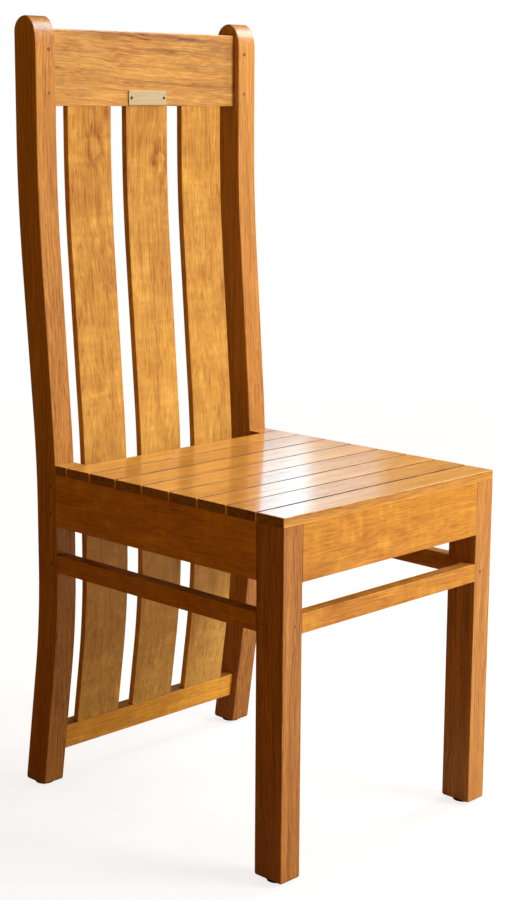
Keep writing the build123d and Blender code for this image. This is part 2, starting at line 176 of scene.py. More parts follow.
def eased_solid(loop, axis, low, high, ease, inward=None):
    """Points, blocks of faces and normals of a loop carried along an axis from low to high.

    Ring by ring an angle runs from -90 degrees to 0 and on to 90 degrees. Each ring is the loop moved
    inwards by ease * (1 - cos(angle)), at a distance of ease * (1 - |sin(angle)|) from its end. Its
    normals turn with the angle. Ease is one number, or one for the low end and one for the high end.
    The way inwards is against the normals unless it is given.
    """
    rising = np.radians(np.linspace(-90, 0, ease_steps + 1))
    angles = np.concatenate([rising, -rising[::-1]])
    at_low = np.arange(len(angles)) <= ease_steps
    low_ease, high_ease = np.broadcast_to(ease, 2)
    eases = np.where(at_low, low_ease, high_ease)
    ends = np.where(at_low, low + low_ease, high - high_ease)
    flat_normals = loop_normals(loop)
    inward = -flat_normals if inward is None else inward
    inset = eases * (1 - np.cos(angles))
    rings = loop[None] + inset[:, None, None] * inward[None]
    first, second = (axis + 1) % 3, (axis + 2) % 3
    points = np.zeros((len(angles), len(loop), 3))
    points[..., first], points[..., second] = rings[..., 0], rings[..., 1]
    points[..., axis] = (ends + eases * np.sin(angles))[:, None]
    normals = np.zeros_like(points)
    normals[..., first] = np.cos(angles)[:, None] * flat_normals[None, :, 0]
    normals[..., second] = np.cos(angles)[:, None] * flat_normals[None, :, 1]
    normals[..., axis] = np.sin(angles)[:, None]
    return points.reshape(-1, 3), ring_faces(len(angles), len(loop)), normals.reshape(-1, 3)


sample = eased_solid(rounded_rectangle((0, 0), (1, 1), 0.1, 0.1), 2, 0, 1, 0.1)
print("an eased block has", len(sample[0]), "points and", sum(map(len, sample[1])), "faces")

# %% [markdown]
# ## Wood remembers the log
# Grain isn't painted on a plank: it is where the plank lay in the tree. A pattern could sit on the surface
# with a UV map, but then the grain of two faces wouldn't meet at their edge. So each wooden piece carries
# five attributes instead. `log` is each point's place in an imaginary log, across, through and along the
# grain, measured from the pith. `end_grain` is 1 where the saw cut across the fibres. `arris` is 1 on the
# eased edges, which the figure makes paler: partly thin lacquer, partly a painted highlight. A fourth is 1
# where shade is painted, on the walls of the seat's gaps, on its front face and on the tops of the rails
# under it, and -1 where light is painted, on the corners of the board ends. `shade` is dark at -1 and
# pale at 1: partly the wood's own tone, because no two planks match and a long one changes from end to
# end, and partly painted light and shade, as on the slats, which are paler low down under the seat.
# Two of the slats carry one more: `knot` is the way to each point from the middle of a knot.

# %% Wooden pieces
golden_ratio = (1 + math.sqrt(5)) / 2
halfway = math.sqrt(0.5)    # what each of two axes has in a normal halfway between them
log_step = 0.37             # how far along its log each piece lies from the one before
plain_shade = 0.35          # how far the shade of a piece without its own values may go
# The tone of each piece at the low end and the high end of its grain. These values paint light and shade too:
# the slats and the lower rail paler low down, under the seat, the posts darker towards the foot, and the
# legs, aprons and crest darker or paler as light falls on them.
own_tones_and_painted_light = {              # at the low end and at the high end of the grain
    "front_leg_left": (-1.0, -1.0), "front_leg_right": (-0.3, -0.3), "rear_post_left": (-0.8, 0.0),
    "rear_post_right": (-1.1, 0.6), "crest_rail": (-0.4, -0.6), "front_apron": (-0.3, -0.3),
    "front_stretcher": (-0.5, -0.5), "lower_back_rail": (1.2, 1.8), "back_slat_left": (0.6, -0.7),
    "back_slat_center": (1.1, -0.6), "back_slat_right": (0.9, -0.6), "side_apron_left": (0.35, 0.15),
}
wooden_pieces = {}


def mesh_object(name, points, faces, normals):
    """A smooth mesh object at the origin, with the given normals. Faces come in blocks of equal corners."""
    mesh = bpy.data.meshes.new(name)
    mesh.from_pydata(points.tolist(), [], sum((block.tolist() for block in faces), []))
    mesh.shade_smooth()
    mesh.normals_split_custom_set_from_vertices(normals.tolist())
    made = bpy.data.objects.new(name, mesh)
    bpy.context.scene.collection.objects.link(made)
    return made


def keep_numbers(mesh, name, values):
    """Stores one number for each point as an attribute."""
    mesh.attributes.new(name, "FLOAT", "POINT").data.foreach_set("value", values.astype(np.float32))


def keep_vectors(mesh, name, values):
    """Stores one vector for each point as an attribute."""
    kept = mesh.attributes.new(name, "FLOAT_VECTOR", "POINT")
    kept.data.foreach_set("vector", values.astype(np.float32).ravel())


def place_in_log(points, grain, pith, slope, order):
    """Distances across and through the grain from the pith, and along it from the foot of the log. With
    a slope the grain runs out of line with the piece."""
    across, through = (grain + 1) % 3, (grain + 2) % 3
    middle = (points.min(axis=0) + points.max(axis=0)) / 2
    centred = points - middle
    aside = centred[:, [across, through]] - np.array(pith) - np.outer(centred[:, grain], slope)
    return np.column_stack([aside, centred[:, grain] + log_step * (order + 1)])


def wooden_piece(node, solid, grain, pith, slope=(0, 0), grime=None, knot=None):
    """A finished piece over a CAD node. Grain is the axis of its fibres, and pith is the middle of its
    log, as two distances from the middle of the piece along the two axes that follow the grain's. Slope
    is how far the grain strays along those two axes. The painted shade and light is a number for each
    point, and a piece without it has none. Knot is the way to each point from the middle of a knot, if
    there is one."""
    points, faces, normals = solid
    made = mesh_object(node + "_finished", points, faces, normals)
    order = len(wooden_pieces)
    keep_vectors(made.data, "log", place_in_log(points, grain, pith, slope, order))
    if knot is not None:
        keep_vectors(made.data, "knot", knot)
    keep_numbers(made.data, "end_grain", np.abs(normals[:, grain]))
    steepest = np.abs(normals).max(axis=1)
    keep_numbers(made.data, "arris", np.clip((1 - steepest) / (1 - halfway), 0, 1))
    spread = plain_shade * (2 * ((order + 1) * golden_ratio % 1) - 1)
    # A piece's own values are painted light and shade as well as tone.
    low_shade, high_shade = own_tones_and_painted_light.get(node, (spread, spread))
    along = points[:, grain] - points[:, grain].min()
    keep_numbers(made.data, "shade", low_shade + (high_shade - low_shade) * along / along.max())
    keep_numbers(made.data, "grime", np.zeros(len(points)) if grime is None else grime)
    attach(made, "root")
    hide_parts(node)
    wooden_pieces[node] = made
    return made


print(len(own_tones_and_painted_light), "pieces have shades of their own")

# %% [markdown]
# ## The curve of the back
# Seen from the side, the posts, the slats and the lower rail share one long curve: a raked foot, an
# upright waist and a back that leans. It could be a spline, but the real curve is straight runs joined by
# gentle bends. A bend is a slope that changes evenly over a short stretch, which adds a parabola there
# and a straight line beyond it, so the whole curve is one sum.

# %% Back curve
foot_kick = 35 * mm
back_lean = 26.5 * mm
knee_height = 242 * mm
waist_height = 460 * mm
shoulder_height = 805 * mm
knee_radius = 1000 * mm
waist_radius = 1500 * mm
shoulder_radius = 2000 * mm
back_setback = 10 * mm
post_depth = 40 * mm
post_top_depth = 43.5 * mm

leg_bottom = box_of["front_leg_left"][0][2]
post_front = box_of["rear_post_left"][1][1] - foot_kick - post_depth
foot_slope = -foot_kick / (knee_height - leg_bottom)


def soft_bend(height, at, slope_change, radius):
    """What a bend adds to a line: nothing below it, a parabola across it, and a straight slope above it."""
    stretch = abs(slope_change) * radius
    inside = np.clip(height - at + stretch / 2, 0, stretch)
    beyond = np.maximum(height - at - stretch / 2, 0)
    return slope_change * (inside ** 2 / (2 * stretch) + beyond)


def back_line(height, growth=0.0):
    """How far back the front of the posts lies at a height. Growth is added from the shoulder up."""
    back_slope = (back_lean + growth) / (shoulder_height - waist_height)
    return (
        post_front + foot_kick + foot_slope * (height - leg_bottom)
        + soft_bend(height, knee_height, -foot_slope, knee_radius)
        + soft_bend(height, waist_height, back_slope, waist_radius)
        + soft_bend(height, shoulder_height, -back_slope, shoulder_radius)
    )


sample_heights = np.array([leg_bottom, waist_height, cad_box[1][2]])
print("back line at foot, waist and top:", np.round(back_line(sample_heights), 4))

# %% [markdown]
# ## Rear posts
# Each post is sawn from a thick plank, so its fibres run straight up while its outline bends. Its top is
# two quarter ellipses that meet at a ridge. The post could be cut from the solid, but as one loop its
# faces stay even from foot to top. The loop's two chains are the front and the back, from the foot up.

# %% Rear posts
post_ease = 1.6 * mm
toe_radius = 4 * mm
post_stations = 90
top_steps = 18
top_apex_setback = 22 * mm
top_front_drop = 34 * mm
top_back_drop = 20 * mm


def post_back(height):
    """The back of a post, which is deeper from the shoulder up."""
    return back_line(height, post_top_depth - post_depth) + post_depth


def post_chain(side_line, toe_way, shoulder, apex, top):
    """One edge of a post from its foot up: a toe arc, the long curve, a quarter ellipse up to the apex."""
    toe_top = leg_bottom + toe_radius
    toe_middle = (side_line(toe_top) - toe_way * toe_radius, toe_top)
    toe = corner_arc(toe_middle, toe_radius, 270, 270 + 90 * toe_way)
    heights = np.linspace(toe_top, shoulder, post_stations)[1:]
    long_curve = np.column_stack([side_line(heights), heights])
    angles = np.radians(90) * np.arange(1, top_steps) / (top_steps - 0.5)
    reach = side_line(shoulder) - apex
    rise = top - shoulder
    top_round = np.column_stack([apex + reach * np.cos(angles), shoulder + rise * np.sin(angles)])
    return np.concatenate([toe, long_curve, top_round])


for side in ("left", "right"):
    node = "rear_post_" + side
    low, high = box_of[node]
    apex = back_line(high[2]) + top_apex_setback
    front = post_chain(back_line, -1, high[2] - top_front_drop, apex, high[2])
    back = post_chain(post_back, 1, high[2] - top_back_drop, apex, high[2])
    solid = eased_solid(loop_of(back, front), 0, low[0], high[0], post_ease)
    made = wooden_piece(node, solid, grain=2, pith=(0.07, -0.07))
    print(made.name, len(made.data.polygons), "faces")

# %% [markdown]
# ## Back slats and the two rails of the back
# The slats are thin planks that follow the posts' curve at a small setback. They stop at the crest rail
# above and the lower rail below, where their tenons go in. The tenons could be drawn too, but no one sees
# them, and a hair of ease on the ends leaves the fine line that a joint shows. Two slats have a knot near
# the top. The top of the lower rail is darkened with painted shade, where it lies between the slats.

# %% Slats and back rails
plank_stations = 80
slat_thickness = 10 * mm
crest_thickness = 22 * mm
low_rail_thickness = 24 * mm
slat_ease = 1.2 * mm
crest_ease = 1.5 * mm
rail_ease = 0.6 * mm
joint_ease = 0.25 * mm
# The next one darkens the top of the lower rail: painted shade between the slats.
low_rail_top_shade = 0.9
slat_hearts = {"left": -0.02, "center": 0.03, "right": 0.0}
knot_places = {"left": (8 * mm, 0.872), "center": (24 * mm, 0.85)}    # from the slat's middle, and up
knot_radii = (10 * mm, 1.0, 18 * mm)    # a knot goes right through its slat, so it is endless that way
inner_x = box_of["front_leg_right"][0][0]
crest_low, crest_high = box_of["crest_rail"]
low_rail_low, low_rail_high = box_of["lower_back_rail"]


def curved_outline(bottom, top, setback, thickness, corner):
    """The side view of a plank along the back's curve, with its four corners cut by a hair."""
    heights = np.concatenate([[bottom], np.linspace(bottom + corner, top - corner, plank_stations), [top]])
    cut = np.zeros(len(heights))
    cut[[0, -1]] = corner
    front = np.column_stack([back_line(heights) + setback + cut, heights])
    back = np.column_stack([back_line(heights) + setback + thickness - cut, heights])
    return loop_of(back, front)


def painted_shade_on_top(solid, strength):
    """Painted shade on the faces that look up, where they lie in shade under the seat."""
    points, faces, normals = solid
    return strength * np.clip(normals[:, 2], 0, 1) ** 2


def from_knot(solid, place):
    """The way from the middle of a knot to each point, in radii of the knot."""
    points, faces, normals = solid
    return (points - np.array(place)) / np.array(knot_radii)


for name, heart in slat_hearts.items():
    node = "back_slat_" + name
    low, high = box_of[node]
    outline = curved_outline(low_rail_high[2], crest_low[2], back_setback, slat_thickness, joint_ease)
    slat = eased_solid(outline, 0, low[0], high[0], slat_ease)
    knot = None
    if name in knot_places:
        aside, height = knot_places[name]
        knot = from_knot(slat, ((low[0] + high[0]) / 2 + aside, low[1], height))
    wooden_piece(node, slat, grain=2, pith=(heart, -0.07), slope=(heart, 0), knot=knot)

outline = curved_outline(low_rail_low[2], low_rail_high[2], back_setback, low_rail_thickness, rail_ease)
low_rail = eased_solid(outline, 0, -inner_x, inner_x, joint_ease)
# The top of the lower rail gets painted shade.
top_shade = painted_shade_on_top(low_rail, low_rail_top_shade)
wooden_piece("lower_back_rail", low_rail, grain=0, pith=(-0.09, 0.03), grime=top_shade)

crest_front = back_line(crest_high[2]) + back_setback
low_corner = (crest_front, crest_low[2])
high_corner = (crest_front + crest_thickness, crest_high[2])
outline = rounded_rectangle(low_corner, high_corner, rail_ease, crest_ease)
crest = eased_solid(outline, 0, -inner_x, inner_x, joint_ease)
wooden_piece("crest_rail", crest, grain=0, pith=(0.075, -0.03), slope=(0, -0.03))
print("back rails span", round(2 * inner_x, 3), "m between the posts")

# %% [markdown]
# ## Front legs, aprons and stretchers
# These are straight. A rail runs from shoulder to shoulder between two uprights, so its length comes from
# its neighbours, not from its own box, which holds the hidden tenons too. Side rails are scribed at the
# back: their end follows the post's curve instead of a flat plane. Moving the points of a straight rail
# does that without a cut.

# %% Legs


def scribe_to_posts(solid):
    """Moves the rear half of a piece back by as much as the posts bend away at each height."""
    points, faces, normals = solid
    rear = points[:, 1] > (points[:, 1].min() + points[:, 1].max()) / 2
    bend = back_line(points[:, 2]) - post_front
    return points + np.where(rear, bend, 0)[:, None] * np.array([0, 1, 0]), faces, normals


leg_ease = 0.9 * mm
foot_ease = 3.5 * mm
spare_ease = 1.3            # a corner arc this much larger than the ease never folds over itself
leg_corner = leg_ease * spare_ease
leg_back = box_of["front_leg_left"][1][1]
front_y = box_of["front_leg_left"][0][1]
for side in ("left", "right"):
    node = "front_leg_" + side
    low, high = box_of[node]
    outline = rounded_rectangle(low[:2], high[:2], leg_corner, leg_corner)
    inward = np.sign((low + high)[:2] / 2 - outline)
    leg = eased_solid(outline, 2, low[2], high[2], (foot_ease, leg_ease), inward)
    wooden_piece(node, leg, grain=2, pith=(0.07, 0.06), slope=(0.01, 0.01))
print("legs", round(high[2] - low[2], 3), "m long")

# %% Aprons and stretchers
# The next one darkens the tops of the side rails: painted shade under the seat.
side_rail_top_shade = 0.7
front_top_eases = {"apron": joint_ease, "stretcher": rail_ease}    # a board lies tight on the apron


def cross_rail(node, top_ease):
    """A straight rail from side to side, with an ease of its own on its upper edges."""
    low, high = box_of[node]
    outline = rounded_rectangle(low[1:], high[1:], rail_ease, top_ease)
    return eased_solid(outline, 0, -inner_x, inner_x, joint_ease)


def side_rail(node):
    """A straight rail from a front leg to a rear post, scribed to the post."""
    low, high = box_of[node]
    outline = rounded_rectangle((low[2], low[0]), (high[2], high[0]), rail_ease, rail_ease)
    return scribe_to_posts(eased_solid(outline, 1, leg_back, post_front, joint_ease))


for kind, top_ease in front_top_eases.items():
    for side in ("left", "right"):
        node = "side_%s_%s" % (kind, side)
        rail = side_rail(node)
        wooden_piece(node, rail, grain=1, pith=(0.01, 0.07), grime=painted_shade_on_top(rail, side_rail_top_shade))
    wooden_piece("front_" + kind, cross_rail("front_" + kind, top_ease), grain=0, pith=(0.09, -0.02))
wooden_piece("rear_seat_rail", cross_rail("rear_seat_rail", rail_ease), grain=0, pith=(0.07, 0.01))
print(len(wooden_pieces), "wooden pieces so far")

# %% [markdown]
# ## Seat boards
# Eight loose boards lie from side to side with a narrow gap between them, and two short fillers end the
# seat in front of the posts. One slab with grooves would look alike from above, but real boards have eased
# edges on all sides. Painted shade on the walls between them draws each gap as a thin dark line, and
# painted light on the corners of their ends draws a fine bright line there. The front face of the seat
# gets a little of the painted shade too. Each board has its own place in its own log. The front board
# sits tight on the apron, so its lower edges are sharp.

# %% Seat boards
seat_board_count = 8
board_ease = 0.7 * mm
front_board_ease = 1.4 * mm
board_corner = 1.6 * mm
corner_share = 0.2          # with this much of two axes in its normal, a point is on a corner of an end
front_edge_reach = 5 * mm
# The next one is how much of the painted gap shade the front face of the seat gets.
front_edge_shade_share = 0.45
heart_swing = 0.02          # how far the pith lies to one side or the other, from board to board
heart_turn = 2.4


def gap_shade_and_corner_light(solid):
    """Painted shade on the upper half of the walls that face the next board, and painted light, less than
    none, on the corners of their ends. The front face of the seat gets only part of the painted shade."""
    points, faces, normals = solid
    across, beyond = np.abs(normals[:, :2]).T
    upper = points[:, 2] > (points[:, 2].min() + points[:, 2].max()) / 2
    lit_corners = (across > corner_share) & (beyond > corner_share)
    share = np.where(points[:, 1] > front_y + front_edge_reach, 1, front_edge_shade_share)
    return np.where(lit_corners, -1.0, np.minimum(2 * beyond, 1) * upper) * share


for number in range(1, seat_board_count + 1):
    node = "seat_board_%d" % number
    low, high = box_of[node]
    ease = (joint_ease, front_board_ease) if low[1] < front_y + board_ease else board_ease
    outline = rounded_rectangle(low[:2], high[:2], board_corner, board_corner)
    board = eased_solid(outline, 2, low[2], high[2], ease)
    heart = heart_swing * math.sin(number * heart_turn)
    wooden_piece(node, board, grain=0, pith=(heart, -0.06), grime=gap_shade_and_corner_light(board))

for side in ("left", "right"):
    node = "seat_filler_" + side
    low, high = box_of[node]
    outline = rounded_rectangle(low[:2], (high[0], post_front), board_corner, board_corner)
    filler = scribe_to_posts(eased_solid(outline, 2, low[2], high[2], board_ease))
    wooden_piece(node, filler, grain=0, pith=(0.0, -0.06), grime=gap_shade_and_corner_light(filler))
print(len(wooden_pieces), "wooden pieces so far")

# %% [markdown]
# ## Turned pieces
# Pegs, glides and pins are round. Blender's own cylinders would be plain, so each piece is a profile
# turned about an axis. A profile is a list of distances from the axis and heights along it. It starts and
# ends on the axis, where one point closes the surface.

# %% Turned solids
turn_steps = 32
turn_angles = np.radians(360) * np.arange(turn_steps) / turn_steps


def turned_rings(profile, axis, sign):
    """Every row (r, h) of a profile as a ring: h along the axis, r * cos and r * sin across it."""
    rings = np.zeros((len(profile), turn_steps, 3))
    rings[..., (axis + 1) % 3] = profile[:, :1] * np.cos(turn_angles)
    rings[..., (axis + 2) % 3] = profile[:, :1] * np.sin(turn_angles) * sign
    rings[..., axis] = profile[:, 1:] * sign
    return rings.reshape(-1, 3)


def turned_faces(rows):
    """Squares between the rings of all rows but the two ends, and fans to the two end points."""
    here = np.arange(turn_steps)
    after = (here + 1) % turn_steps
    ring = np.arange(rows - 3)[:, None] * turn_steps
    corners = [ring + here, ring + after, ring + turn_steps + after, ring + turn_steps + here]
    last = (rows - 3) * turn_steps
    tip = np.full(turn_steps, (rows - 2) * turn_steps)
    first_fan = np.column_stack([after, here, tip])
    last_fan = np.column_stack([last + here, last + after, tip + 1])
    return [np.stack(corners, axis=-1).reshape(-1, 4), first_fan, last_fan]


def turned_solid(profile, middle, axis, sign):
    """Points, blocks of faces and normals of a profile turned about an axis through a middle point.

    The rows between the two ends become rings, and the two ends become single points. A normal is the
    profile's own direction turned a quarter.
    """
    profile = np.asarray(profile, float)
    way = np.gradient(profile, axis=0)
    slope = np.column_stack([way[:, 1], -way[:, 0]])
    slope /= np.linalg.norm(slope, axis=1, keepdims=True)
    tips, tip_normals = np.zeros((2, 3)), np.zeros((2, 3))
    tips[:, axis] = profile[[0, -1], 1] * sign
    tip_normals[:, axis] = (-sign, sign)
    points = np.concatenate([turned_rings(profile[1:-1], axis, sign), tips]) + np.asarray(middle)
    normals = np.concatenate([turned_rings(slope[1:-1], axis, sign), tip_normals])
    return points, turned_faces(len(profile)), normals


print("turned pieces have", turn_steps, "sides")

# %% Several solids as one
dome_rows = 7
dome_squareness = 0.6       # 1 is an even dome, and less is flatter on top


def together(solids):
    """Several solids as one, with the faces of each counted on from the points before."""
    counts = np.cumsum([0] + [len(points) for points, faces, normals in solids])
    points = np.concatenate([points for points, faces, normals in solids])
    normals = np.concatenate([normals for points, faces, normals in solids])
    faces = [block + start for solid, start in zip(solids, counts) for block in solid[1]]
    return points, faces, normals


def domed_profile(radius, depth, rise):
    """A plug that goes depth below the surface and ends in a low dome that rises above it."""
    angles = np.radians(np.linspace(0, 90, dome_rows))
    dome = np.column_stack([radius * np.cos(angles) ** dome_squareness, rise * np.sin(angles)])
    dome[-1, 0] = 0
    return np.concatenate([[(0, -depth), (radius, -depth)], dome])


print("a domed plug has", len(domed_profile(3 * mm, 3 * mm, 0.5 * mm)), "rows in its profile")

# %% [markdown]
# ## Pegs
# A peg was driven through each joint and cut off almost level with the face. A dark dot of paint would do
# from far away, but a low dome of end grain catches the light as the real one does. A group's box has its
# pegs in the corners, so their places come straight from the box.

# %% Pegs
peg_radius = 3 * mm
peg_rise = 0.45 * mm
peg_depth = 3 * mm


def peg_ends(node, axis, faces_out):
    """One dome for each corner of the group's box, on the faces that the pegs were driven into."""
    low, high = box_of[node]
    first, second = (axis + 1) % 3, (axis + 2) % 3
    profile = domed_profile(peg_radius, peg_depth, peg_rise)
    solids = []
    for face, sign in faces_out:
        for a in sorted({round(low[first] + peg_radius, 5), round(high[first] - peg_radius, 5)}):
            for b in sorted({round(low[second] + peg_radius, 5), round(high[second] - peg_radius, 5)}):
                middle = np.zeros(3)
                middle[axis], middle[first], middle[second] = face, a, b
                solids.append(turned_solid(profile, middle, axis, sign))
    return together(solids)


side_faces = [(cad_box[0][0], -1), (cad_box[1][0], 1)]
crest_post_face = float(back_line(crest_high[2]))
peg_groups = {
    "crest_rail_pegs": (1, [(crest_post_face, -1)]),
    "side_apron_pegs": (0, side_faces),
    "side_stretcher_pegs": (0, side_faces),
    "front_stretcher_pegs": (1, [(front_y, -1)]),
}
for node, (axis, faces_out) in peg_groups.items():
    made = wooden_piece(node, peg_ends(node, axis, faces_out), grain=axis, pith=(0.02, 0.03))
    print(made.name, len(made.data.polygons), "faces")

# %% [markdown]
# ## Glides, plate and pins
# Under each foot is a dark round glide, and low on the crest rail is a small blank brass plate held by two
# domed pins. The plate is one more eased outline, because its rim has to catch a fine line of light.
# Glides and pins are turned.

# %% Glides
glide_ease = 1.5 * mm


def plain_piece(node, solid):
    """A finished piece over a CAD node that isn't wood."""
    made = mesh_object(node + "_finished", *solid)
    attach(made, "root")
    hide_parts(node)
    return made


def glide_profile(radius, thickness):
    """A disc with a rounded lower rim, from the middle of its underside to the middle of its top."""
    rim = corner_arc((radius - glide_ease, glide_ease), glide_ease, 270, 360)
    return np.concatenate([[(0, 0)], rim, [(radius, thickness), (0, thickness)]])


glides = []
for end in ("front", "rear"):
    for side in ("left", "right"):
        node = "foot_glide_%s_%s" % (end, side)
        low, high = box_of[node]
        middle = ((low[0] + high[0]) / 2, (low[1] + high[1]) / 2, low[2])
        profile = glide_profile((high[0] - low[0]) / 2, leg_bottom)
        glides.append(plain_piece(node, turned_solid(profile, middle, 2, 1)))
print(len(glides), "glides")

# %% Plate and pins
plate_ease = 0.5 * mm
plate_corner = 1.2 * mm
pin_depth = 1 * mm

plate_low, plate_high = box_of["name_plate"]
outline = rounded_rectangle(plate_low[[2, 0]], plate_high[[2, 0]], plate_corner, plate_corner)
plate = plain_piece("name_plate", eased_solid(outline, 1, plate_low[1], plate_high[1], plate_ease))

low, high = box_of["name_plate_pins"]
pin_radius = (high[2] - low[2]) / 2
pin_height = (low[2] + high[2]) / 2
pin_places = [(x, plate_low[1], pin_height) for x in (low[0] + pin_radius, high[0] - pin_radius)]
pin_profile = domed_profile(pin_radius, pin_depth, plate_low[1] - low[1])
pin_solids = [turned_solid(pin_profile, place, 1, -1) for place in pin_places]
pins = plain_piece("name_plate_pins", together(pin_solids))
print("a plate of", np.round(plate_high - plate_low, 4), "and", len(pin_places), "pins")

# %% [markdown]
# ## Nodes in a few words
# Materials here are graphs of shader nodes. Every node could be added and linked in three lines of its
# own, but a few small helpers keep the graphs readable: one adds a node and links or fills its sockets,
# the others do arithmetic or mix colours. Colours are given as they look on a screen and turned into the
# linear light that Blender works in.

# %% Node helpers


def screen_colour(red, green, blue):
    """Linear red, green, blue and alpha of a colour given as screen values from 0 to 255."""
    values = np.array([red, green, blue]) / 255
    linear = np.where(values <= 0.04045, values / 12.92, ((values + 0.055) / 1.055) ** 2.4)
    return (*linear.tolist(), 1.0)


def put(tree, kind, sockets=None, **options):
    """Adds a node, sets its options, and links or fills its inputs by name or number."""
    made = tree.nodes.new("ShaderNode" + kind)
    for option, value in options.items():
        setattr(made, option, value)
    for key, value in (sockets or {}).items():
        if isinstance(value, bpy.types.NodeSocket):
            tree.links.new(value, made.inputs[key])
        else:
            made.inputs[key].default_value = value
    return made


def mixed_colour(tree, factor, first, second):
    """The colour between two others."""
    return put(tree, "Mix", {0: factor, 6: first, 7: second}, data_type="RGBA").outputs[2]


def sum_up(tree, operation, first, second):
    """One step of arithmetic on two numbers."""
    return put(tree, "Math", {0: first, 1: second}, operation=operation).outputs[0]


def vector_sum(tree, operation, first, second):
    """One step of arithmetic on two vectors."""
    return put(tree, "VectorMath", {0: first, 1: second}, operation=operation).outputs[0]


def ranged(tree, value, low, high):
    """A number moved so that low becomes 0 and high becomes 1, without passing either."""
    return put(tree, "MapRange", {"Value": value, "From Min": low, "From Max": high}, clamp=True).outputs[0]


print("a screen colour of 205, 140, 75 is", np.round(screen_colour(205, 140, 75), 3))

# %% [markdown]
# ## How wood is figured
# Every growth ring is a shell round the pith, light where spring wood starts and dark where summer ends.
# The distance from the pith, disturbed a little by slow noise, gives the rings. Over them lie long mineral
# streaks, flame-like flecks, a cloudy mottle where the grain interlocks, a ripple across it, fine fibres
# and small dark pores. A knot pushes the rings aside and has a dark ragged halo. A wave texture could draw
# stripes, but only a figure that is worked out in the log turns into lines on one face and arches on the
# next. One node group does all of this, so each wooden finish can use it with its own colours and strengths.

# %% Grain noise and rings
slow_bend = (11, 2.4, 0.03)         # swings to the metre across and along the grain, and the push
quick_bend = (28, 20, 0.007)
ring_runs = 0.35                    # how soon wide rings give way to narrow ones
ring_unevenness = 2.5
season_tones = {0.0: 0.1, 0.5: 0.3, 0.82: 1.0, 1.0: 0.1}    # how dark the wood is as a ring goes by
knot_reach = 3.5                    # in radii of the knot, as the next three are
halo_start = 0.55
halo_peak = 1.0
halo_end = 2.0
knot_raggedness = 1.6


def grain_noise(tree, place, across, along, detail, twist=0.0):
    """Noise on a place in the log, with so many swings to the metre across the grain and along it. A
    twist curls it."""
    spread = vector_sum(tree, "MULTIPLY", place, (across, across, along))
    sockets = {"Vector": spread, "Scale": 1, "Detail": detail, "Distortion": twist}
    return put(tree, "TexNoise", sockets).outputs


def swing(tree, noise, strength):
    """Noise that swings about zero, by a strength."""
    return sum_up(tree, "MULTIPLY", sum_up(tree, "SUBTRACT", noise, 0.5), strength)


def bent_log(tree, log):
    """The place in the log, pushed about across the grain by a slow noise and a quicker one, so that no
    ring is quite round and no fibre quite straight."""
    place = log
    for across, along, push in (slow_bend, quick_bend):
        noise = grain_noise(tree, log, across, along, detail=2)["Color"]
        centred = vector_sum(tree, "SUBTRACT", noise, (0.5, 0.5, 0.5))
        place = vector_sum(tree, "ADD", place, vector_sum(tree, "MULTIPLY", centred, (push, push, 0)))
    return place


def growth_rings(tree, place, ring_width):
    """How far summer has gone at a place, from 0 to 1: a slow rise and a quick fall within each ring."""
    flat = vector_sum(tree, "MULTIPLY", place, (1, 1, 0))
    distance = put(tree, "VectorMath", {0: flat}, operation="LENGTH").outputs["Value"]
    rings = sum_up(tree, "DIVIDE", distance, ring_width)
    uneven = put(tree, "TexNoise", {"W": rings, "Scale": ring_runs, "Detail": 1}, noise_dimensions="1D")
    rings = sum_up(tree, "ADD", rings, sum_up(tree, "MULTIPLY", uneven.outputs["Fac"], ring_unevenness))
    season = put(tree, "ValToRGB", {"Fac": sum_up(tree, "FRACT", rings, 0)})
    stops = season.color_ramp.elements
    for position in list(season_tones)[1:-1]:
        stops.new(position)
    for stop, tone in zip(stops, season_tones.values()):
        stop.color = (tone, tone, tone, 1)
    return season.outputs["Color"]


def knot_figure(tree, log, knot):
    """How near a knot is, from 0 to 1, and the dark ragged halo about its pale middle. A piece without
    a knot is all middle, so that it shows none."""
    distance = put(tree, "VectorMath", {0: knot}, operation="LENGTH").outputs["Value"]
    curls = grain_noise(tree, log, across=90, along=50, detail=3, twist=1.2)["Fac"]
    ragged = sum_up(tree, "ADD", distance, swing(tree, curls, knot_raggedness))
    rising = ranged(tree, ragged, halo_start, halo_peak)
    falling = ranged(tree, ragged, halo_end, halo_peak)
    return ranged(tree, distance, knot_reach, 0), sum_up(tree, "MULTIPLY", rising, falling)


print("a ring goes through", len(season_tones), "tones")

# %% Wood figure group
piece_masks = ["End Grain", "Arris", "Grime", "Shade"]
figure_numbers = [
    "Ring Width", "Ring Strength", "Streak Strength", "Fleck Strength", "Mottle Strength", "Ripple Strength",
    "Shade Strength", "End Darkness",
]
figure_inputs = {
    "Vector": ["Log", "Knot"], "Color": ["Spring Wood", "Summer Wood", "Streak Colour"],
    "Float": piece_masks + figure_numbers,
}
figure_outputs = {"Color": ["Colour"], "Float": ["Pores", "Height", "Film"]}
streak_between = 0.25       # what is left of a streak between its lines
fibre_strength = 0.75
fibre_height = 0.5
pore_darkness = 0.3
# The next one is how dark the painted shade is, in the gaps and on the rail tops.
painted_shade_darkness = 0.8
# The next one pales the eased edges: partly thin lacquer, partly a painted highlight.
arris_wear_and_highlight = 0.15
knot_darkness = 0.34
knot_push = -0.004
dark_tint = (0.88, 1.22, 1.2)    # how strongly red, green and blue follow a tone that darkens
pale_tint = (0.88, 1.2, 1.7)     # and one that lightens
end_grain_and_shade_tint = (1.0, 1.04, 0.65)    # and end grain and the painted shade and light


def add_sockets(tree, way, sockets):
    """Gives a group its named inputs or outputs, kind by kind."""
    for kind, names in sockets.items():
        for name in names:
            tree.interface.new_socket(name, in_out=way, socket_type="NodeSocket" + kind)


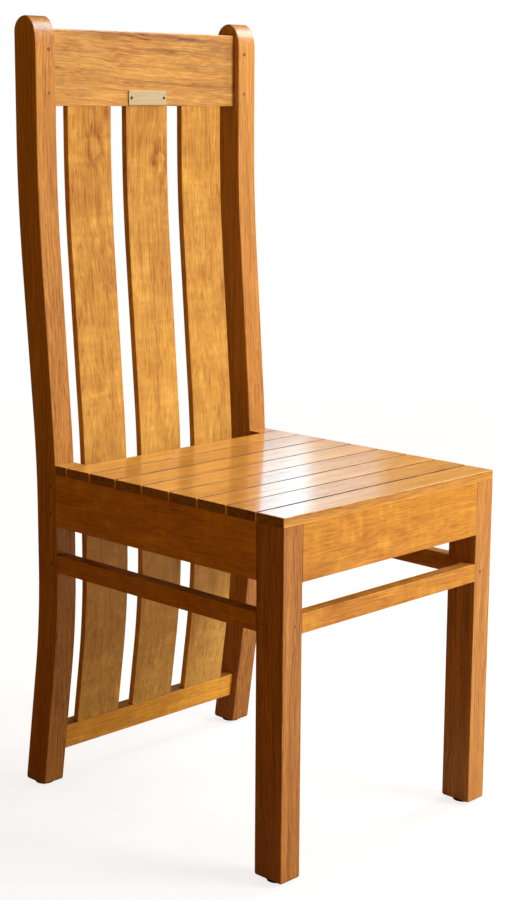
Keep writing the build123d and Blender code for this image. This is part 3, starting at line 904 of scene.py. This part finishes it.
def wood_figure_group():
    """Builds the group that turns a place in the log into colour, pores and height. Film is how much of
    the lacquer shines through the painted shade."""
    tree = bpy.data.node_groups.new("wood_figure", "ShaderNodeTree")
    add_sockets(tree, "INPUT", figure_inputs)
    add_sockets(tree, "OUTPUT", figure_outputs)
    given = tree.nodes.new("NodeGroupInput").outputs
    result = tree.nodes.new("NodeGroupOutput").inputs

    # Rings, pushed aside by a knot, come and go with the clouds, and streaks lie over them
    near, halo = knot_figure(tree, given["Log"], given["Knot"])
    aside = vector_sum(tree, "MULTIPLY", given["Knot"], sum_up(tree, "MULTIPLY", near, knot_push))
    place = vector_sum(tree, "ADD", bent_log(tree, given["Log"]), aside)
    clouds = grain_noise(tree, given["Log"], across=20, along=10, detail=4, twist=1.6)["Fac"]
    patchy = sum_up(tree, "MULTIPLY", given["Ring Strength"], ranged(tree, clouds, 0.3, 0.65))
    summer = sum_up(tree, "MULTIPLY", growth_rings(tree, place, given["Ring Width"]), patchy)
    colour = mixed_colour(tree, summer, given["Spring Wood"], given["Summer Wood"])
    bands = grain_noise(tree, place, across=90, along=2.6, detail=3)["Fac"]
    lines = grain_noise(tree, place, across=360, along=7, detail=5, twist=0.5)["Fac"]
    drawn = sum_up(tree, "ADD", ranged(tree, lines, 0.4, 0.64), streak_between)
    streak = sum_up(tree, "MULTIPLY", ranged(tree, bands, 0.4, 0.68), drawn)
    streak = sum_up(tree, "MULTIPLY", streak, given["Streak Strength"])
    colour = mixed_colour(tree, streak, colour, given["Streak Colour"])

    # The rest of the figure adds up to one tone
    fibres = grain_noise(tree, place, across=520, along=9, detail=2)["Fac"]
    flecks = grain_noise(tree, place, across=420, along=45, detail=4, twist=0.9)["Fac"]
    ripple = grain_noise(tree, given["Log"], across=22, along=105, detail=2)["Fac"]
    bars = swing(tree, ripple, given["Ripple Strength"])
    specks = grain_noise(tree, given["Log"], across=1500, along=30, detail=1)["Fac"]
    pores = ranged(tree, specks, 0.6, 0.72)
    tones = [
        swing(tree, clouds, given["Mottle Strength"]),
        swing(tree, flecks, given["Fleck Strength"]),
        swing(tree, fibres, fibre_strength),
        sum_up(tree, "MULTIPLY", bars, ranged(tree, clouds, 0.35, 0.6)),
        sum_up(tree, "MULTIPLY", given["Shade"], given["Shade Strength"]),
        sum_up(tree, "MULTIPLY", pores, -pore_darkness),
        sum_up(tree, "MULTIPLY", given["Arris"], arris_wear_and_highlight),
        sum_up(tree, "MULTIPLY", halo, -knot_darkness),
    ]
    tone = tones[0]
    for more in tones[1:]:
        tone = sum_up(tree, "ADD", tone, more)
    darker = vector_sum(tree, "MULTIPLY", sum_up(tree, "MINIMUM", tone, 0), dark_tint)
    lighter = vector_sum(tree, "MULTIPLY", sum_up(tree, "MAXIMUM", tone, 0), pale_tint)
    figured = vector_sum(tree, "ADD", darker, lighter)

    # End grain and the painted shade darken it further, with less colour, and the painted light lifts it
    cut_ends = sum_up(tree, "MULTIPLY", given["End Grain"], given["End Darkness"])
    painted_shade_tone = sum_up(tree, "MULTIPLY", given["Grime"], painted_shade_darkness)
    dulled = vector_sum(tree, "MULTIPLY", sum_up(tree, "ADD", cut_ends, painted_shade_tone), end_grain_and_shade_tint)
    change = vector_sum(tree, "SUBTRACT", vector_sum(tree, "ADD", figured, (1, 1, 1)), dulled)
    colour = vector_sum(tree, "MULTIPLY", colour, change)

    tree.links.new(vector_sum(tree, "MAXIMUM", colour, (0, 0, 0)), result["Colour"])
    tree.links.new(pores, result["Pores"])
    tree.links.new(ranged(tree, given["Grime"], 1, 0), result["Film"])
    ridges = sum_up(tree, "MULTIPLY", fibres, fibre_height)
    tree.links.new(sum_up(tree, "SUBTRACT", ridges, pores), result["Height"])
    return tree


wood_figure = wood_figure_group()
print("wood figure group with", len(wood_figure.nodes), "nodes")

# %% [markdown]
# ## Lacquered wood
# The finish is a clear lacquer over golden stained wood: a soft base with a smooth coat. A glossy shader
# mixed over a diffuse one would do, but the Principled shader has the coat built in. Its base takes the
# figure and a very fine bump, and the coat stays even, as a film does that has filled the grain. Only
# the painted shade takes its shine away, on the rails and the seat. Crest, posts, rails, slats, seat and
# pegs are the same kind of wood, cut from different trees.

# %% Wood finishes
base_gloss = 0.3
base_roughness = 0.42
pore_roughness = 0.2        # this much more in a pore
grain_bump = 0.2
grain_depth = 0.4 * mm
hidden_log = (0.04, 0.06, 0.3)      # where the solids that stay lie in their log


def wood_finish(name, coat, coat_roughness, coat_thins_in_painted_shade=False, grain_turn=None, **figure_values):
    """A wood material. The figure's values are named as its sockets are. Pieces carry their own log, and
    a solid that only has object coordinates gives the turn of its grain instead. Where it is asked for,
    the coat thins where shade is painted, as the film says."""
    made = bpy.data.materials.new(name)
    made.use_nodes = True
    tree = made.node_tree
    shader = tree.nodes["Principled BSDF"]
    figure = put(tree, "Group", node_tree=wood_figure)
    if grain_turn is None:
        for socket in piece_masks:
            read = put(tree, "Attribute", attribute_name=socket.lower().replace(" ", "_"))
            tree.links.new(read.outputs["Fac"], figure.inputs[socket])
        knot = put(tree, "Attribute", attribute_name="knot").outputs["Vector"]
        tree.links.new(knot, figure.inputs["Knot"])
        place = put(tree, "Attribute", attribute_name="log").outputs["Vector"]
    else:
        own = put(tree, "TexCoord").outputs["Object"]
        moved = {"Vector": own, "Rotation": grain_turn, "Location": hidden_log}
        place = put(tree, "Mapping", moved).outputs[0]
    tree.links.new(place, figure.inputs["Log"])
    for key, value in figure_values.items():
        figure.inputs[key.replace("_", " ").title()].default_value = value
    tree.links.new(figure.outputs["Colour"], shader.inputs["Base Color"])
    pore_share = sum_up(tree, "MULTIPLY", figure.outputs["Pores"], pore_roughness)
    tree.links.new(sum_up(tree, "ADD", pore_share, base_roughness), shader.inputs["Roughness"])
    relief = {"Height": figure.outputs["Height"], "Strength": grain_bump, "Distance": grain_depth}
    tree.links.new(put(tree, "Bump", relief).outputs[0], shader.inputs["Normal"])
    shader.inputs["Specular IOR Level"].default_value = base_gloss
    shader.inputs["Coat Roughness"].default_value = coat_roughness
    shader.inputs["Coat Weight"].default_value = coat
    # The coat thins where shade is painted.
    if coat_thins_in_painted_shade:
        film = sum_up(tree, "MULTIPLY", figure.outputs["Film"], coat)
        tree.links.new(film, shader.inputs["Coat Weight"])
    return made


print("a wood finish reads", len(piece_masks), "masks, a log and a knot")

# %% The woods of the chair
crest_wood = wood_finish(
    "crest_wood", 0.5, 0.22, spring_wood=screen_colour(201, 156, 85), summer_wood=screen_colour(166, 120, 68),
    streak_colour=screen_colour(127, 88, 66), ring_width=4.5 * mm, ring_strength=0.5, streak_strength=0.8,
    fleck_strength=0.8, mottle_strength=0.6, shade_strength=0.22, end_darkness=0.6,
)
post_wood = wood_finish(
    "post_wood", 0.35, 0.18, spring_wood=screen_colour(194, 140, 73), summer_wood=screen_colour(142, 94, 49),
    streak_colour=screen_colour(124, 82, 48), ring_width=5.0 * mm, ring_strength=0.8, streak_strength=0.5,
    fleck_strength=0.5, mottle_strength=0.3, shade_strength=0.22, end_darkness=0.3,
)
rail_wood = wood_finish(
    "rail_wood", 0.5, 0.2, coat_thins_in_painted_shade=True, spring_wood=screen_colour(197, 139, 49),
    summer_wood=screen_colour(170, 112, 39), streak_colour=screen_colour(142, 88, 42), ring_width=5.0 * mm,
    ring_strength=0.4, streak_strength=0.25, fleck_strength=0.6, mottle_strength=1.0, ripple_strength=0.55,
    shade_strength=0.22, end_darkness=0.6,
)
slat_wood = wood_finish(
    "slat_wood", 0.4, 0.24, spring_wood=screen_colour(198, 151, 72), summer_wood=screen_colour(168, 120, 56),
    streak_colour=screen_colour(146, 97, 50), ring_width=5.0 * mm, ring_strength=0.35, streak_strength=0.45,
    fleck_strength=0.55, mottle_strength=0.9, ripple_strength=0.5, shade_strength=0.25, end_darkness=0.6,
)
seat_wood = wood_finish(
    "seat_wood", 0.9, 0.15, coat_thins_in_painted_shade=True, spring_wood=screen_colour(214, 157, 67),
    summer_wood=screen_colour(180, 122, 53), streak_colour=screen_colour(138, 90, 49), ring_width=5.0 * mm,
    ring_strength=0.5, streak_strength=0.45, fleck_strength=0.5, mottle_strength=0.6, shade_strength=0.25,
    end_darkness=0.62,
)
peg_wood = wood_finish(
    "peg_wood", 0.4, 0.25, spring_wood=screen_colour(222, 160, 82), summer_wood=screen_colour(190, 126, 60),
    streak_colour=screen_colour(150, 94, 44), ring_width=2.0 * mm, ring_strength=0.6, streak_strength=0.3,
    fleck_strength=0.4, mottle_strength=0.4, shade_strength=0.1, end_darkness=0.62,
)
print(len(bpy.data.materials), "materials, with those of the solids")

# %% Each piece gets its wood
wood_of_slot = {"slat_wood": slat_wood, "seat_wood": seat_wood, "peg_wood": peg_wood}
wood_of_node = {"crest_rail": crest_wood}
for node, piece in wooden_pieces.items():
    upright = node.startswith(("rear_post", "front_leg"))
    frame_finish = post_wood if upright else rail_wood
    finish = wood_of_node.get(node) or wood_of_slot.get(slot_of[node]) or frame_finish
    piece.data.materials.append(finish)
print("wood on", len(wooden_pieces), "pieces")

# %% [markdown]
# ## Hidden wood, metal and plastic
# Cleats, corner blocks and screws are only seen from below. Their solids have the right shape already, so
# they stay and just get a finish. The brass is brushed along the plate, its pins have darkened, the screws
# are zinc plated and the glides are matt plastic. One noise for both colour and roughness is enough here.

# %% Other finishes
speck_bump = 0.15
speck_depth = 0.2 * mm


def speckled_finish(name, light, dark, scale, roughness, metallic):
    """A material whose colour and roughness follow one noise on object coordinates. The noise has a
    scale for each axis, and roughness is its lowest and its highest value."""
    made = bpy.data.materials.new(name)
    made.use_nodes = True
    tree = made.node_tree
    shader = tree.nodes["Principled BSDF"]
    own = put(tree, "TexCoord").outputs["Object"]
    spread = vector_sum(tree, "MULTIPLY", own, scale)
    noise = put(tree, "TexNoise", {"Vector": spread, "Scale": 1, "Detail": 4}).outputs["Fac"]
    grade = ranged(tree, noise, 0.3, 0.7)
    tree.links.new(mixed_colour(tree, grade, light, dark), shader.inputs["Base Color"])
    low, high = roughness
    rough = sum_up(tree, "ADD", sum_up(tree, "MULTIPLY", grade, high - low), low)
    tree.links.new(rough, shader.inputs["Roughness"])
    relief = {"Height": noise, "Strength": speck_bump, "Distance": speck_depth}
    tree.links.new(put(tree, "Bump", relief).outputs[0], shader.inputs["Normal"])
    shader.inputs["Metallic"].default_value = metallic
    return made


brass = speckled_finish(
    "brass", screen_colour(207, 194, 162), screen_colour(184, 168, 134), (60, 60, 2400), (0.4, 0.55), 0.3
)
dark_brass = speckled_finish(
    "dark_brass", screen_colour(92, 70, 44), screen_colour(60, 44, 28), (900, 900, 900), (0.35, 0.5), 0.7
)
steel = speckled_finish(
    "steel", screen_colour(190, 190, 186), screen_colour(140, 140, 138), (900, 900, 900), (0.3, 0.5), 1.0
)
glide_plastic = speckled_finish(
    "glide_plastic", screen_colour(44, 38, 36), screen_colour(30, 26, 25), (700, 700, 700), (0.5, 0.65), 0.0
)
for piece in glides:
    piece.data.materials.append(glide_plastic)
plate.data.materials.append(brass)
pins.data.materials.append(dark_brass)
print("metal and plastic on", len(glides) + 2, "pieces")

# %% Solids that stay
quarter = math.radians(90)
inner_figure = {
    "spring_wood": screen_colour(200, 142, 80), "summer_wood": screen_colour(164, 106, 52),
    "streak_colour": screen_colour(140, 88, 46), "ring_width": 4 * mm, "ring_strength": 0.5,
    "streak_strength": 0.4, "fleck_strength": 0.6, "mottle_strength": 0.4,
}
inner_along_x = wood_finish("inner_wood_x", 0.0, 0.3, grain_turn=(0, quarter, 0), **inner_figure)
inner_along_y = wood_finish("inner_wood_y", 0.0, 0.3, grain_turn=(quarter, 0, 0), **inner_figure)
kept_solids = {
    "seat_cleat_left": inner_along_y, "seat_cleat_right": inner_along_y, "seat_cleat_front": inner_along_x,
    "seat_board_screws": steel, "cleat_screws": steel, "corner_block_screws": steel,
}
for end in ("front", "rear"):
    for side in ("left", "right"):
        kept_solids["corner_block_%s_%s" % (end, side)] = inner_along_x
for node, finish in kept_solids.items():
    for slot in frame["nodes"][node].material_slots:
        slot.material = finish
print(len(kept_solids), "solids keep their own mesh")

# %% [markdown]
# ## Floor
# The chair stands in a plain pale studio, on a disc that fades into a white backdrop. A plain white disc
# would do, but its light would fill the shaded left side of the chair with grey. So the floor is almost
# white to the camera alone. To all other rays it is pale only towards the lights, in front on the right,
# and a dim warm brown elsewhere, as boards in the shade are. The Light Path node tells the two apart.

# %% Floor
floor_radius = 4.0
floor_rings = 24
fade_start = 0.9
fade_end = 3.6
light_way = (0.7, -0.7, 0)
lit_from = -0.3             # along the way to the lights, where the floor starts to be lit
lit_full = 0.8
shaded_floor = (0.17, 0.08, 0.02, 1)
lit_floor = (0.5, 0.42, 0.32, 1)
seen_floor = (0.2, 0.2, 0.2, 1)
floor_glow = 0.82
floor_roughness = 0.9
floor_gloss = 0.1


def disc(radius):
    """A flat disc as a polar grid, with a point in the middle."""
    distances = np.linspace(0, radius, floor_rings)[1:]
    circle = np.column_stack([np.cos(turn_angles), np.sin(turn_angles), np.zeros(turn_steps)])
    points = np.concatenate([(distances[:, None, None] * circle[None]).reshape(-1, 3), np.zeros((1, 3))])
    here = np.arange(turn_steps)
    after = (here + 1) % turn_steps
    ring = (np.arange(floor_rings - 2) * turn_steps)[:, None]
    corners = [ring + here, ring + turn_steps + here, ring + turn_steps + after, ring + after]
    fan = np.column_stack([here, after, np.full(turn_steps, len(points) - 1)])
    upright = np.tile([0.0, 0.0, 1.0], (len(points), 1))
    return points, [np.stack(corners, axis=-1).reshape(-1, 4), fan], upright


def floor_finish():
    """Almost white to the camera, dim and warm to all other rays, and clear towards the rim."""
    made = bpy.data.materials.new("studio_floor")
    made.use_nodes = True
    tree = made.node_tree
    shader = tree.nodes["Principled BSDF"]
    camera_ray = put(tree, "LightPath").outputs["Is Camera Ray"]
    own = put(tree, "TexCoord").outputs["Object"]
    to_light = put(tree, "VectorMath", {0: own, 1: light_way}, operation="DOT_PRODUCT").outputs["Value"]
    bounced = mixed_colour(tree, ranged(tree, to_light, lit_from, lit_full), shaded_floor, lit_floor)
    tree.links.new(mixed_colour(tree, camera_ray, bounced, seen_floor), shader.inputs["Base Color"])
    shader.inputs["Roughness"].default_value = floor_roughness
    shader.inputs["Specular IOR Level"].default_value = floor_gloss
    shader.inputs["Emission Color"].default_value = (1, 1, 1, 1)
    tree.links.new(sum_up(tree, "MULTIPLY", camera_ray, floor_glow), shader.inputs["Emission Strength"])
    from_middle = put(tree, "VectorMath", {0: own}, operation="LENGTH").outputs["Value"]
    edge = {"Value": from_middle, "From Min": fade_end, "From Max": fade_start}
    fade = put(tree, "MapRange", edge, interpolation_type="SMOOTHSTEP")
    tree.links.new(fade.outputs[0], shader.inputs["Alpha"])
    return made


floor = mesh_object("studio_floor", *disc(floor_radius))
floor.data.materials.append(floor_finish())
print("floor disc of", floor_radius, "m")

# %% [markdown]
# ## Light
# A broad soft light from the front right makes the front faces golden and leaves the left faces in shade.
# A light high on the right lifts the seat, a weak front light reaches under it, and a low one behind keeps
# the back readable. Lacquer mirrors every lamp, and these would bleach the seat from other sides, so they
# are kept out of reflections. The gleams have panels of their own. A cool skylight lights nothing and only
# shows as a pale gleam on the tops of the posts and along the seat's front edge. The white sheen on the
# boards comes from a tall window behind the chair, in the mirror direction of the seat: a bright pane, a
# softer edge and a wide warm curtain. A sky picture could light all this at once, but single panels can be
# placed one by one.

# %% Light and backdrop
warm_white = (1.0, 0.95, 0.88)
cool_white = (0.42, 0.77, 1.0)
curtain_colour = (1.0, 0.72, 0.36)
post_tops = (2.0, 0.22, 1.02)       # level with the tops of the posts and to their right
window_distance = 6.0
window_middle = 1.65
window_height = 1.0
window_panes = {                    # shift to the right, width, power and colour
    "window": (0.016, 0.18, 2.1, cool_white), "window_edge": (0.045, 0.32, 1.2, cool_white),
    "curtain": (0.15, 1.6, 2.0, curtain_colour),
}
backdrop_white = (1, 1, 1, 1)
ambient_colour = (1.0, 0.42, 0.025, 1)
ambient_strength = 0.255


def panel_light(name, place, target, size, power, colour, mirrored=True, lights=True):
    """A rectangular light at a place, turned to face a target. One that isn't mirrored lights the wood
    and leaves no glare on it. One that doesn't light is only seen as a gleam on the lacquer."""
    lamp = bpy.data.lights.new(name, "AREA")
    lamp.shape = "RECTANGLE"
    lamp.size, lamp.size_y = size
    lamp.energy = power
    lamp.color = colour
    made = bpy.data.objects.new(name, lamp)
    facing = (Vector(target) - Vector(place)).to_track_quat("-Z", "Y").to_matrix().to_4x4()
    made.matrix_world = Matrix.Translation(place) @ facing
    made.visible_camera = False
    made.visible_glossy = mirrored
    made.visible_diffuse = lights
    bpy.context.scene.collection.objects.link(made)
    return made


panel_light("key_light", (1.2, -2.3, 1.9), (0, 0, 0.55), (1.2, 1.2), 94, warm_white, mirrored=False)
panel_light("top_light", (2.2, -0.3, 2.75), (0, 0, 0.5), (1.1, 1.1), 80, warm_white, mirrored=False)
panel_light("skylight", (2.0, -0.75, 2.55), post_tops, (2.4, 1.1), 120, cool_white, lights=False)
panel_light("front_light", (0.7, -3.2, 0.8), (0, 0, 0.4), (2.0, 1.6), 30, warm_white, mirrored=False)
panel_light("back_light", (0.2, 3.2, 0.45), (0, 0, 0.5), (1.8, 0.7), 40, warm_white, mirrored=False)
for name, (shift, width, power, colour) in window_panes.items():
    there = camera_place + window_distance * (view_forward + shift * view_right)
    place = (there.x, there.y, window_middle)
    panel_light(name, place, (0, 0, window_middle), (width, window_height), power, colour)

world = bpy.data.worlds.new("studio")
world.use_nodes = True
bpy.context.scene.world = world
tree = world.node_tree
seen = put(tree, "Background", {"Color": backdrop_white, "Strength": 1.0})
lighting = put(tree, "Background", {"Color": ambient_colour, "Strength": ambient_strength})
rays = put(tree, "LightPath").outputs["Is Camera Ray"]
either = put(tree, "MixShader", {0: rays, 1: lighting.outputs[0], 2: seen.outputs[0]})
tree.links.new(either.outputs[0], tree.nodes["World Output"].inputs["Surface"])
bpy.context.scene.view_settings.view_transform = "Standard"
print(len(bpy.data.lights), "lights and a pale backdrop")
